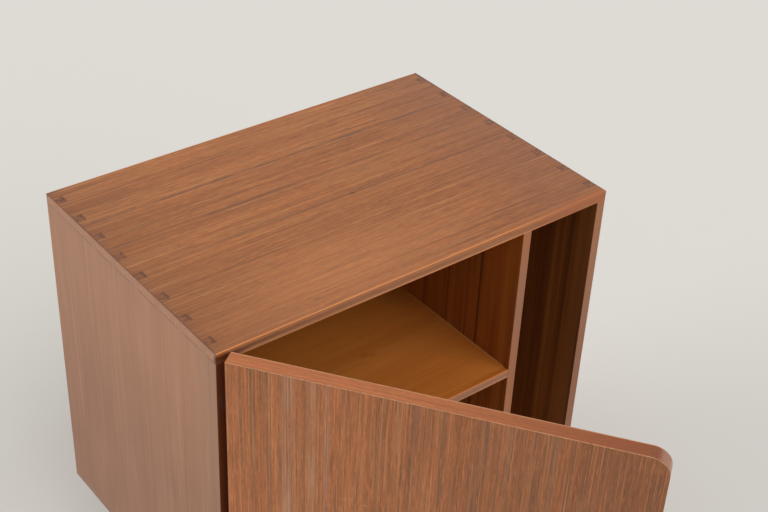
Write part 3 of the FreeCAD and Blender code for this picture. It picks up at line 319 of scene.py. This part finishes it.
woodPieces = {
    "topBoard": {
        **board, "node": "top_board",
        "staveWidth": 50.7, "staveStart": -13.8, "staveContrast": 0.08,
        "bands": [("across", 87.6, 1.7, 0.85, 45, "#3b3634"), ("across", 87.6, 1.7, 0.3, 0, "#4c3a30"),
                  ("across", 35.5, 1.5, 0.65, 90, "#4c2e1e"), ("across", -13.8, 1.5, 0.6, 120, "#4c2e1e"),
                  ("across", 54.5, 1.3, 0.5, 70, "#553421"), ("across", 35.5, 1.5, 0.4, 0, "#5c3a24"),
                  ("across", -13.8, 1.5, 0.4, 0, "#5c3a24"), ("across", -51, 1.2, 0.5, 70, "#5c3a26"),
                  ("across", 135.5, 1.2, 0.45, 80, "#5c3a26"), ("along", -252, 16, 0.4, 0, "#6f4428"),
                  ("along", 262, 150, 0.52, 0, "#835236"), ("along", -262, 120, 0.45, 0, "#824d28"),
                  # the three bands through the board lie on the front edge: the upper and the lower one are
                  # painted highlights, the middle one a darker stripe between them
                  ("through", 523.8, 2.6, 0.5, 0, "#784527"), ("through", 519.6, 2.2, 0.6, 0, "#c08a64"),
                  ("through", 527.7, 2.2, 0.6, 0, "#c67a42"), ("along", -250, 2.4, 0.7, 55, "#4a2c1c"),
                  ("along", 250, 2.4, 0.6, 55, "#4a3022")],
        "knotsAndPaintedLight": [((18, -14.5, 0), (6, 2.5, endless), 0.7, "#54301c"),
                  ((-124, -149, 0), (7, 3, endless), 0.6, "#5c3a26"),
                  # this large pale oval near the front is a painted highlight
                  ((-70, -125, 0), (210, 85, endless), 0.2, "#cf8c58"),
                  # this dark oval at the left end of the front edge is painted shade from the open door
                  ((-244, -166, 522), (36, 6, 8), 0.85, "#521f05"),
                  ((240, -166, 0), (150, 10, endless), 0.9, "#a35c2d"),
                  ((-246, 166, 530), (22, 9, 6), 0.55, "#5a3d2c"),
                  ((250, 150, 530), (6, 34, 6), 0.8, "#3a2418")],
        "inside": -1, "insidePalette": unfaded, "endGrain": tailEnds,
        # its bright arris colour is wear and a painted highlight
        "arrisWearAndHighlight": 0.85, "arrisWearAndHighlightColour": "#dd8846", "endArris": 0.6, "endArrisColour": "#55311d",
    },
    "bottomBoard": {
        **board, "node": "bottom_board", "cut": (340, 510, 90),
        "staveWidth": 55, "staveStart": 10, "staveContrast": 0.14, "inside": 1, "insidePalette": unfaded,
        "endGrain": [(0.3, "#835d46"), (0.7, "#936c54")], "endArris": 0.35, "endArrisColour": "#7a563f",
    },
    "leftSide": {
        **board, "node": "left_side", "grain": "deep", "cut": (1200, 60, 700),
        "streaks": [(420, 34, 0.40), (70, 45, 0.25), (500, 9, 0.28), (220, 3, 0.26)],
        "palette": faded, "inside": -1, "insidePalette": unfaded,
        "veins": [*softVeins, (140, 2.6, 0.56, 0.76, 0.3, "#bd8e70")],
        # the first band, lighter over the upper part, is painted light and the second, darker over the lower
        # part, is painted shade
        "bands": [("along", 545, 240, 0.42, 0, "#b58161"), ("along", 120, 330, 0.3, 0, "#7b5743"),
                  ("along", 518, 1.2, 0.4, 30, "#6b4936"), ("across", -164, 34, 0.35, 0, "#84654e")],
        "endGrain": [(0.34, "#552a10"), (0.66, "#8c5532")],
        "knotsAndPaintedLight": [((530, 0, 238.5), (5, endless, 5), 0.38, "#3f1c0a")],
        # the front edge colour here is painted shade: the crevice behind the open door
        "arrisWearAndHighlight": 0.3, "arrisWearAndHighlightColour": "#a97f62", "frontFadeAndShade": 1.0, "frontFadeAndShadeColour": "#562305",
    },
    "rightSide": {
        **board, "node": "right_side", "grain": "deep", "cut": (2300, 460, 150),
        "streaks": [(1200, 22, 0.50), (600, 8, 0.50), (260, 3, 0.36)],
        "palette": faded, "veins": softVeins, "inside": 1, "insidePalette": paintedShadeInside,
        # the second band, lighter over the front 40 mm, is painted light falling into the slot; it also lies
        # on the outer face
        "bands": [("along", 518, 1.2, 0.4, 30, "#6b4936"), ("across", -166, 40, 0.3, 0, "#a5703f")],
        "knotsAndPaintedLight": [((400, -166, 0), (90, 3, endless), 0.4, "#84685a"),
                  ((230, -166, 0), (210, 5, endless), 0.8, "#5a3626"),
                  ((530, 0, -238.5), (5, endless, 5), 0.25, "#3f1c0a")],
        "endGrain": [(0.34, "#58301a"), (0.66, "#8f5c3c")],
        "frontFadeAndShade": 0.55, "frontFadeAndShadeColour": "#9c6341",
    },
    "divider": {
        **board, "node": "divider", "grain": "deep", "cut": (3100, 240, 900),
        "streaks": [(1200, 20, 0.46), (600, 7, 0.44), (260, 3, 0.30)],
        "palette": unfaded, "veins": deepVeins,
        "staveWidth": 48, "staveStart": -107, "staveContrast": 0.30,
        "bands": [("across", -107, 1.7, 0.85, 0, "#1f0d04"), ("across", -88, 1.6, 0.5, 0, "#2c1407"),
                  ("across", -55, 1.6, 0.5, 0, "#2c1407"), ("across", -76, 12, 0.3, 0, "#5a2c0c")],
        # the first oval, bright orange high at the front of the face, is painted light
        "knotsAndPaintedLight": [((500, -145, 0), (130, 50, endless), 0.45, "#c87428"),
                  ((430, -166, 0), (75, 3, endless), 0.5, "#84685a")],
        "frontFadeAndShade": 0.6, "frontFadeAndShadeColour": "#9c6341",
    },
    "shelf": {
        **board, "node": "shelf_board", "cut": (4100, 130, 300),
        "streaks": [(420, 40, 0.70), (300, 12, 0.34), (150, 4, 0.2)],
        "palette": [(0.25, "#ae6222"), (0.5, "#c4752f"), (0.75, "#d2863c")],
        "veins": [(40, 2, 0.56, 0.74, 0.15, "#8a4a14")], "arrisWearAndHighlight": 0.0,
        # the second band, lighter over the left part, and the third, lighter over the middle, are painted
        # light
        "bands": [("along", 130, 2.2, 0.6, 0, "#d0a466"), ("along", -170, 170, 0.3, 0, "#d98d42"),
                  ("across", 20, 75, 0.45, 0, "#e8953f")],
        "knotsAndPaintedLight": [((12, -53, 0), (9, 6, endless), 0.3, "#7a4212"),
                  ((21, -57, 0), (6, 4, endless), 0.35, "#7a4212"),
                  # this darker oval at the back by the divider is painted shade
                  ((130, 40, 0), (50, 100, endless), 0.45, "#7a4212")],
    },
    "shelfLipping": {
        **board, "node": "shelf_lipping", "cut": (5200, 75, 410), "veins": deepVeins,
        "palette": [(0.25, "#a6591b"), (0.5, "#b96a26"), (0.75, "#c77a33")],
        "bands": [("through", 329.5, 3, 0.65, 0, "#70584a"), ("through", 325.2, 1.6, 0.6, 0, "#b98a6c")],
        "frontFadeAndShade": 0.3, "frontFadeAndShadeColour": "#956e59", "arrisWearAndHighlightColour": "#d07a2c",
    },
    "doorFront": {
        **board, "node": "door_front_veneer", "onDoor": True, "grain": "wide", "cut": (6100, 20, 600),
        "streaks": [(600, 26, 0.36), (500, 6, 0.34), (400, 1.9, 0.48), (24, 1.5, 0.42), (8, 1.3, 0.46)],
        "palette": [(0.28, "#7e4821"), (0.46, "#98582c"), (0.56, "#a76234"), (0.74, "#bd7a46")],
        "veins": [(400, 3.0, 0.53, 0.72, 0.4, "#766047"), (160, 1.8, 0.54, 0.72, 0.5, "#5b4937"),
                  (50, 1.5, 0.56, 0.75, 0.5, "#503518"), (120, 1.7, 0.56, 0.74, 0.4, "#c68a58"),
                  (14, 1.3, 0.58, 0.76, 0.5, "#c4743f")],
        "bands": [("across", 56, 9, 0.45, 140, "#b78f74"), ("across", 79, 6, 0.4, 120, "#b78f74"),
                  ("across", 93, 4, 0.4, 160, "#a08a7c"), ("across", 175, 5, 0.35, 300, "#6d5443"),
                  ("across", 201, 4, 0.55, 160, "#58483a"), ("across", 230, 3, 0.45, 160, "#5c4a3a"),
                  ("across", 287, 4, 0.5, 160, "#58483a"), ("across", 420, 260, 0.55, 0, "#6a3a18")],
        "knotsAndPaintedLight": [((470, 57, 0), (1.6, 1.6, endless), 0.6, "#5c3820"),
                  ((395, 112, 0), (1, 4, endless), 0.4, "#c9976c"),
                  ((393, 132, 0), (1, 4, endless), 0.4, "#c9976c")],
        "endGrain": [(0.34, "#95643f"), (0.66, "#c0906a")], "arrisWearAndHighlight": 0.0, "endArris": 0.0,
    },
    "doorBack": {
        **board, "node": "door_back_veneer", "onDoor": True, "grain": "wide", "cut": (7100, 220, 640),
        "streaks": [(1400, 24, 0.34), (700, 5, 0.44), (300, 1.8, 0.44)],
        "endGrain": [(0.3, "#a87855"), (0.7, "#c09068")], "arrisWearAndHighlight": 0.0, "endArris": 0.0,
    },
    "doorLippingTop": {
        **board, "node": "door_lipping_top", "onDoor": True, "cut": (8100, 320, 40),
        "palette": [(0.25, "#8e4f27"), (0.5, "#ad6334"), (0.75, "#c17b47")],
        "veins": [(60, 2.0, 0.57, 0.76, 0.25, "#8a4a28")],
        "bands": [("along", 430, 250, 0.75, 0, "#743713")],
        "arrisWearAndHighlight": 0.3, "endArris": 0.0,
    },
    "doorLippingBottom": {
        **board, "node": "door_lipping_bottom", "onDoor": True, "cut": (8400, 20, 740),
    },
    "doorLippingHinge": {
        **board, "node": "door_lipping_hinge", "onDoor": True, "grain": "deep", "cut": (9100, 820, 44),
    },
    "doorLippingFree": {
        **board, "node": "door_lipping_free", "onDoor": True, "grain": "deep", "cut": (9700, 120, 444),
        # the band and the oval are a pale painted highlight where the lipping bends round the corner
        "bands": [("along", 510, 24, 0.65, 0, "#b48a7a")],
        "knotsAndPaintedLight": [((522, 0, -392), (9, endless, 8), 0.3, "#c9a390")],
        "endGrain": [(0.3, "#743c1b"), (0.7, "#8a4a26")], "arrisWearAndHighlight": 0.3, "endArris": 0.0,
    },
    "backPanel": {
        **board, "node": "back_panel", "grain": "wide", "cut": (10700, 720, 44),
        "palette": [(0.25, "#83522c"), (0.5, "#99663a"), (0.75, "#ab784a")],
        "inside": -1, "insidePalette": paintedShadeInside, "arrisWearAndHighlight": 0.0, "endArris": 0.0,
    },
}
corners = ("front_left", "front_right", "back_left", "back_right")
legs = {
    "cut": (12000, 0, 77),      # the first leg's place in the log
    "nextCut": (310, 310, 0),   # from one leg's place to the next
}
for number, corner in enumerate(corners):
    woodPieces["leg_" + corner] = {
        **board, "node": "leg_" + corner, "grain": "deep", "arrisWearAndHighlight": 0.0,
        "cut": tuple(first + number * step for first, step in zip(legs["cut"], legs["nextCut"])),
    }
for piece, look in woodPieces.items():
    oiledTeak(piece, look)
print("teak done:", len(woodPieces), "pieces")

# what the fittings share
fittings = {
    "noise": {"Scale": 1, "Detail": 3},
    "bumpStrength": 0.4,
    "ior": 1.5,   # the shader's default, which the metals keep
}


def plainFinish(name, finish):
    # a fine even grain of noise moves the colour between two shades and the roughness a little
    material, tree = newMaterial(name)
    spot = addNode(tree, "ShaderNodeTexCoord").outputs["Object"]
    size = tuple(number / mmPerMetre for number in finish["size"])
    scaled = addNode(tree, "ShaderNodeVectorMath", {"operation": "DIVIDE", 1: size}, {0: spot})
    noise = addNode(tree, "ShaderNodeTexNoise", fittings["noise"], {"Vector": scaled.outputs[0]})
    colour = addNode(tree, "ShaderNodeValToRGB", {"stops": finish["palette"]}, {0: noise.outputs[0]})
    low, high = finish["rough"]
    rough = addNode(tree, "ShaderNodeMapRange", {"To Min": low, "To Max": high}, {"Value": noise.outputs[0]})
    relief = addNode(tree, "ShaderNodeBump",
                     {"Strength": fittings["bumpStrength"], "Distance": finish["bump"]},
                     {"Height": noise.outputs[0]})
    shader = addNode(tree, "ShaderNodeBsdfPrincipled",
                     {"Metallic": finish.get("metallic", 0), "IOR": finish.get("ior", fittings["ior"])},
                     {"Base Color": colour.outputs[0], "Roughness": rough.outputs[0],
                      "Normal": relief.outputs[0]})
    addNode(tree, "ShaderNodeOutputMaterial", links={"Surface": shader.outputs[0]})
    dress(material, *finish["nodes"])


# size is the grain in millimetres, bump its height in metres
halves = ("upper", "lower")
hingeMetal = ("plate", "arm", "leaf", "pin")
plainFinishes = {
    # pressed steel, zinc plated: a dull grey shine with faint clouding
    "zincPlatedSteel": {
        "nodes": ["leg_plate_" + corner for corner in corners] + ["leg_studs", "catch_strike"]
                 + ["hinge_" + piece + "_" + half for piece in hingeMetal for half in halves],
        "palette": [(0.3, "#a9a9a6"), (0.7, "#c2c1bc")], "size": (3, 3, 3),
        "rough": (0.28, 0.42), "bump": 0.00004, "metallic": 1,
    },
    # turned steel screws, a little darker
    "screwSteel": {
        "nodes": ["leg_plate_screws", "hinge_plate_screws", "hinge_clamp_screws", "hinge_leaf_screws",
                  "catch_screws"],
        "palette": [(0.3, "#90908d"), (0.7, "#adaca8")], "size": (1.5, 1.5, 1.5),
        "rough": (0.3, 0.45), "bump": 0.00003, "metallic": 1,
    },
    # brass wood screws, dulled
    "dullBrass": {
        "nodes": ["back_screws"],
        "palette": [(0.3, "#a3854a"), (0.7, "#c2a360")], "size": (1.5, 1.5, 1.5),
        "rough": (0.3, 0.45), "bump": 0.00003, "metallic": 1,
    },
    # moulded brown plastic: an even spark-eroded grain
    "brownPolystyrene": {
        "nodes": ["catch_housing"],
        "palette": [(0.3, "#3a2519"), (0.7, "#442c1e")], "size": (0.8, 0.8, 0.8),
        "rough": (0.45, 0.55), "bump": 0.00005, "ior": 1.59,
    },
    # pressed and ground ferrite: nearly black, a little glitter
    "ferrite": {
        "nodes": ["catch_magnet"],
        "palette": [(0.3, "#2a2a2b"), (0.7, "#3a3a3b")], "size": (0.6, 0.6, 0.6),
        "rough": (0.4, 0.6), "bump": 0.00003,
    },
    # moulded nylon: milky and waxy
    "nylon": {
        "nodes": ["leg_glides"],
        "palette": [(0.3, "#ded9cb"), (0.7, "#e8e4d8")], "size": (2, 2, 2),
        "rough": (0.4, 0.5), "bump": 0.00004, "ior": 1.53,
    },
    # pressed wool felt: fuzzy and matt
    "pressedFelt": {
        "nodes": ["door_bumpers"],
        "palette": [(0.3, "#4f3726"), (0.7, "#6b4c36")], "size": (0.5, 0.5, 0.5),
        "rough": (0.9, 1.0), "bump": 0.0003,
    },
    # blockboard: pale softwood strips, seen only in the hinge notches
    "blockboard": {
        "nodes": ["door_core"],
        "palette": [(0.3, "#b99a6b"), (0.7, "#cdb184")], "size": (4, 4, 60),
        "rough": (0.6, 0.75), "bump": 0.0001,
    },
}
for name, finish in plainFinishes.items():
    plainFinish(name, finish)
print("fittings done:", len(plainFinishes), "finishes")

stage = {
    "floorSize": 60.0,        # metres
    "floorColour": "#d8d6d2",
    "floorRoughness": 0.7,
    "backdrop": "#dedcd8",
    "ambientColour": "#ffffff",
    "ambient": 0.4,
    "lampColour": "#fffcf8",
    "lamps": {                # the side each shines from, its strength in W/m2 and its spread in degrees
        "frontLamp": {"from": (0.12, -0.74, 0.66), "strength": 1.5, "spread": 60},
        "leftLamp": {"from": (-0.85, 0.34, 0.40), "strength": 1.05, "spread": 40},
        "topLamp": {"from": (-0.10, 0.16, 0.98), "strength": 0.65, "spread": 45},
    },
}


def paleFloor():
    # one flat square under the feet, painted and matt
    half = stage["floorSize"] / 2
    square = [(-half, -half, 0), (half, -half, 0), (half, half, 0), (-half, half, 0)]
    mesh = bpy.data.meshes.new("floor")
    mesh.from_pydata(square, [], [(0, 1, 2, 3)])
    floor = bpy.data.objects.new("floor", mesh)
    bpy.context.scene.collection.objects.link(floor)
    material, tree = newMaterial("paintedFloor")
    shader = addNode(tree, "ShaderNodeBsdfPrincipled",
                     {"Base Color": linear(stage["floorColour"]), "Roughness": stage["floorRoughness"]})
    addNode(tree, "ShaderNodeOutputMaterial", links={"Surface": shader.outputs[0]})
    mesh.materials.append(material)


def studioLight():
    # a dim even surround, pale where it is seen or mirrored, and three large soft lamps far off
    world = bpy.data.worlds.new("studio")
    world.use_nodes = True
    tree = world.node_tree
    tree.nodes.clear()
    path = addNode(tree, "ShaderNodeLightPath").outputs
    light = addNode(tree, "ShaderNodeBackground",
                    {"Color": linear(stage["ambientColour"]), "Strength": stage["ambient"]})
    seen = addNode(tree, "ShaderNodeBackground", {"Color": linear(stage["backdrop"])})
    mirrored = addNode(tree, "ShaderNodeMath", {"operation": "MAXIMUM"},
                       {0: path["Is Glossy Ray"], 1: path["Is Transmission Ray"]})
    pale = addNode(tree, "ShaderNodeMath", {"operation": "MAXIMUM"},
                   {0: path["Is Camera Ray"], 1: mirrored.outputs[0]})
    mix = addNode(tree, "ShaderNodeMixShader",
                  links={0: pale.outputs[0], 1: light.outputs[0], 2: seen.outputs[0]})
    addNode(tree, "ShaderNodeOutputWorld", links={"Surface": mix.outputs[0]})
    bpy.context.scene.world = world
    for name, settings in stage["lamps"].items():
        lamp = bpy.data.lights.new(name, "SUN")
        lamp.energy = settings["strength"]
        lamp.angle = math.radians(settings["spread"])
        lamp.color = linear(stage["lampColour"])[:3]
        holder = bpy.data.objects.new(name, lamp)
        holder.location = settings["from"]
        holder.rotation_euler = Vector(settings["from"]).to_track_quat("Z", "Y").to_euler()
        bpy.context.scene.collection.objects.link(holder)


view = {
    "place": (-0.7782, -1.0433, 1.3441),   # metres
    "turn": (55.46, -2.315, -37.78),       # degrees about X, Y and Z
    "lens": 67.12,                         # millimetres, as the sensor's width
    "sensorWidth": 36,
}


def photoCamera():
    camera = bpy.data.cameras.new("camera")
    camera.sensor_fit = "HORIZONTAL"
    camera.sensor_width = view["sensorWidth"]
    camera.lens = view["lens"]
    holder = bpy.data.objects.new("camera", camera)
    holder.location = view["place"]
    holder.rotation_euler = [math.radians(angle) for angle in view["turn"]]
    bpy.context.scene.collection.objects.link(holder)
    bpy.context.scene.camera = holder


paleFloor()
studioLight()
photoCamera()
bpy.context.scene.view_settings.view_transform = "Standard"
print("floor, light and camera done")
